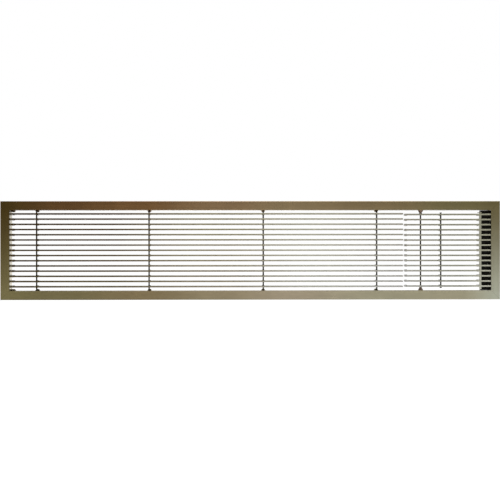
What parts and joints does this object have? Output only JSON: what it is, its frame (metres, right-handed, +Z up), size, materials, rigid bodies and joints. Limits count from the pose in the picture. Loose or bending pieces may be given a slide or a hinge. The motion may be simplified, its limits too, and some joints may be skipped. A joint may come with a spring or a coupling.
{
  "type": "linear bar air grille",
  "caption": "Wall-mounted linear bar air grille: mitred flanged frame, thin straight horizontal bars on vertical rods, and a hinged access door at one end.",
  "frame": {"origin": "middle of the wall opening, on the plane of the wall's face, which is the back of the flange", "axes": "+X along the grille to the right as seen from the room, +Y into the wall, +Z up; the visible face looks along -Y"},
  "size_m": [1.0668, 0.0223, 0.2102],
  "materials": {
    "bronze_frame": "satin antique bronze on extruded aluminium, brushed along each length",
    "bronze_bars": "satin antique bronze on extruded aluminium bar",
    "bronze_rods": "steel rod, dark bronze finish",
    "bush_bronze": "sintered bronze, matt brown",
    "black_paint": "matt black paint on folded steel",
    "black_rubber": "matt black rubber strip",
    "plated_steel": "zinc-plated steel"
  },
  "bodies": {
    "frame": {"frame_top_rail": "bronze_frame", "frame_bottom_rail": "bronze_frame", "frame_left_stile": "bronze_frame", "frame_right_stile": "bronze_frame", "corner_angle_top_left": "plated_steel", "corner_angle_top_right": "plated_steel", "corner_angle_bottom_left": "plated_steel", "corner_angle_bottom_right": "plated_steel", "corner_rivets": "plated_steel", "fixed_bar_01": "bronze_bars", "fixed_bar_02": "bronze_bars", "fixed_bar_03": "bronze_bars", "fixed_bar_04": "bronze_bars", "fixed_bar_05": "bronze_bars", "fixed_bar_06": "bronze_bars", "fixed_bar_07": "bronze_bars", "fixed_bar_08": "bronze_bars", "fixed_bar_09": "bronze_bars", "fixed_bar_10": "bronze_bars", "fixed_bar_11": "bronze_bars", "fixed_bar_12": "bronze_bars", "fixed_bar_13": "bronze_bars", "fixed_bar_14": "bronze_bars", "fixed_bar_15": "bronze_bars", "cross_rod_1": "bronze_rods", "cross_rod_2": "bronze_rods", "cross_rod_3": "bronze_rods", "cross_rod_4": "bronze_rods", "pivot_bush_top": "bush_bronze", "pivot_bush_bottom": "bush_bronze", "strike_channel": "black_paint", "door_stop_pad": "black_rubber", "strike_screws": "plated_steel"},
    "door": {"door_bar_01": "bronze_bars", "door_bar_02": "bronze_bars", "door_bar_03": "bronze_bars", "door_bar_04": "bronze_bars", "door_bar_05": "bronze_bars", "door_bar_06": "bronze_bars", "door_bar_07": "bronze_bars", "door_bar_08": "bronze_bars", "door_bar_09": "bronze_bars", "door_bar_10": "bronze_bars", "door_bar_11": "bronze_bars", "door_bar_12": "bronze_bars", "door_bar_13": "bronze_bars", "door_bar_14": "bronze_bars", "door_bar_15": "bronze_bars", "door_pivot_rod": "bronze_rods", "door_tie_rod": "bronze_rods", "door_end_plate": "bronze_bars", "pivot_washers": "bush_bronze"}
  },
  "joints": [
    {"name": "door_hinge", "type": "hinge", "parent": "frame", "child": "door", "pos_m": [0.3649, 0.00715, 0], "axis": [0, 0, -1], "range_deg": [0, 105]}
  ]
}
